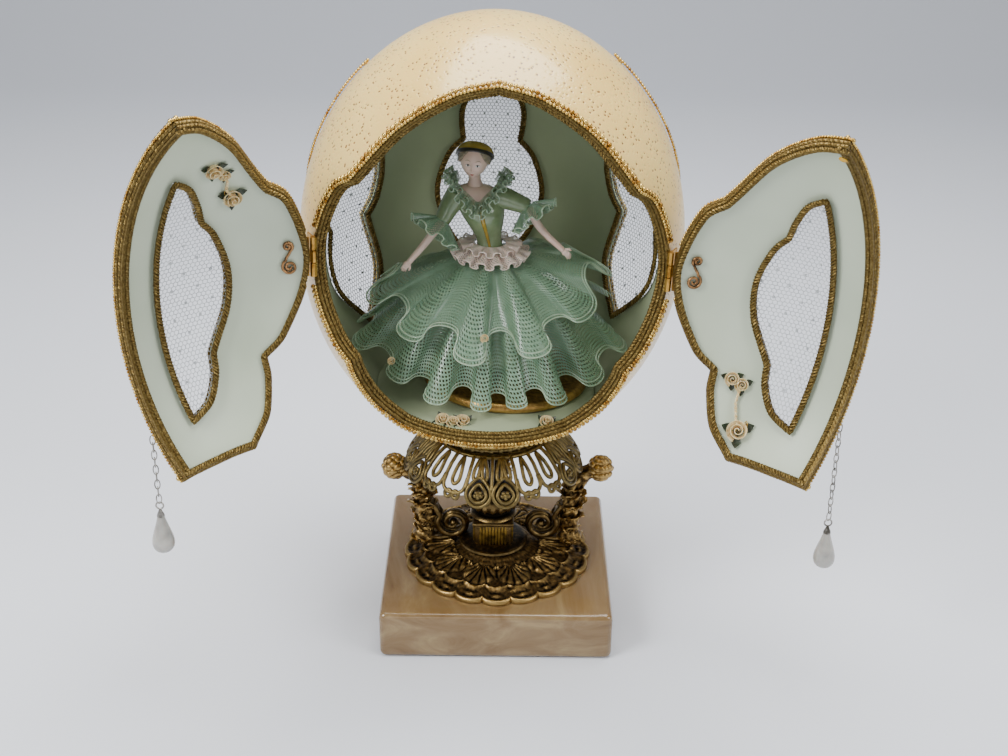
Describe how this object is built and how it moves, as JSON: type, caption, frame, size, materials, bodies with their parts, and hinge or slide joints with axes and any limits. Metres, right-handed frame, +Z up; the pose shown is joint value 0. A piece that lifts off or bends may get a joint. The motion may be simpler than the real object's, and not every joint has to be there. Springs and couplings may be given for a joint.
{
  "type": "ostrich egg",
  "caption": "Decorated ostrich egg made into a display case with two hinged net-windowed doors, a porcelain lady in lace inside, on a scrolled brass stand with a marble block.",
  "frame": {"origin": "centre of the marble block's underside, on the surface it stands on", "axes": "+X to the right of the picture, across the two open doors; +Y away from the open front; +Z up"},
  "size_m": [0.2418, 0.1514, 0.2314],
  "materials": {
    "marble": "cream marble with tan streaks, polished",
    "gilt": "antique gilt brass with dark recesses",
    "dark_brass": "dark patinated brass, gold on the raised parts",
    "gold_braid": "gold metallic rope braid",
    "gold_bead": "small polished gold beads on a chain",
    "brass": "plain polished brass",
    "copper": "coppery cast scroll",
    "eggshell": "cream ostrich eggshell, glossy, pored; pale green satin lining inside",
    "tulle": "fine white dotted tulle",
    "satin": "pale sage green satin",
    "lace": "mint porcelain lace with paler hems",
    "bisque": "pale porcelain, painted face and hair, gold trim",
    "ribbon": "satin ribbon roses",
    "cap_gold": "yellow-gold porcelain cap with a black band",
    "silver": "silver-grey fine chain",
    "pearl": "imitation pearl, soft lustre"
  },
  "bodies": {
    "case": {"marble_base": "marble", "foot_plate": "gilt", "urn": "dark_brass", "column_left": "dark_brass", "column_right": "dark_brass", "column_back": "dark_brass", "filigree_collar": "gilt", "seat_ring": "gilt", "shell": "eggshell", "opening_beads_upper": "gold_bead", "opening_beads_lower": "gold_bead", "opening_braid": "gold_braid", "floor": "satin", "hinge_leaf_left": "brass", "hinge_leaf_right": "brass", "plinth": "gilt", "figurine_body": "bisque", "figurine_cap": "cap_gold", "figurine_ruff": "lace", "sleeve_left": "lace", "sleeve_right": "lace", "waist_ruffle": "bisque", "skirt_upper": "lace", "skirt_lower": "lace", "overskirt": "lace", "floor_roses_left": "ribbon", "floor_rose_right": "ribbon", "window_braid_left": "gold_braid", "window_beads_left": "gold_bead", "window_net_left": "tulle", "window_braid_right": "gold_braid", "window_beads_right": "gold_bead", "window_net_right": "tulle", "window_braid_back": "gold_braid", "window_beads_back": "gold_bead", "window_net_back": "tulle"},
    "door_left": {"door_panel_left": "eggshell", "door_braid_left": "gold_braid", "door_beads_left": "gold_bead", "door_window_braid_left": "gold_braid", "door_window_beads_left": "gold_bead", "door_net_left": "tulle", "door_scroll_left": "copper", "door_roses_left": "ribbon", "door_hinge_leaf_left": "brass"},
    "drop_left": {"drop_chain_left": "silver", "drop_pearl_left": "pearl"},
    "door_right": {"door_panel_right": "eggshell", "door_braid_right": "gold_braid", "door_beads_right": "gold_bead", "door_window_braid_right": "gold_braid", "door_window_beads_right": "gold_bead", "door_net_right": "tulle", "door_scroll_right": "copper", "door_roses_right": "ribbon", "door_hinge_leaf_right": "brass"},
    "drop_right": {"drop_chain_right": "silver", "drop_pearl_right": "pearl"}
  },
  "joints": [
    {"name": "door_left_hinge", "type": "hinge", "parent": "case", "child": "door_left", "pos_m": [-0.06182, -0.03376, 0.15797], "axis": [0.0349, 0, 0.9994], "range_deg": [-17.2, 117.75]},
    {"name": "door_right_hinge", "type": "hinge", "parent": "case", "child": "door_right", "pos_m": [0.05703, -0.03376, 0.15382], "axis": [0.0349, 0, 0.9994], "range_deg": [-131.74, 3.2]},
    {"name": "drop_left_swing", "type": "hinge", "parent": "door_left", "child": "drop_left", "pos_m": [-0.11179, -0.07318, 0.11076], "axis": [0.8845, -0.4656, -0.0309], "range_deg": [-60, 60]},
    {"name": "drop_right_swing", "type": "hinge", "parent": "door_right", "child": "drop_right", "pos_m": [0.11455, -0.05798, 0.10948], "axis": [-0.7457, -0.6658, 0.026], "range_deg": [-60, 60]}
  ]
}
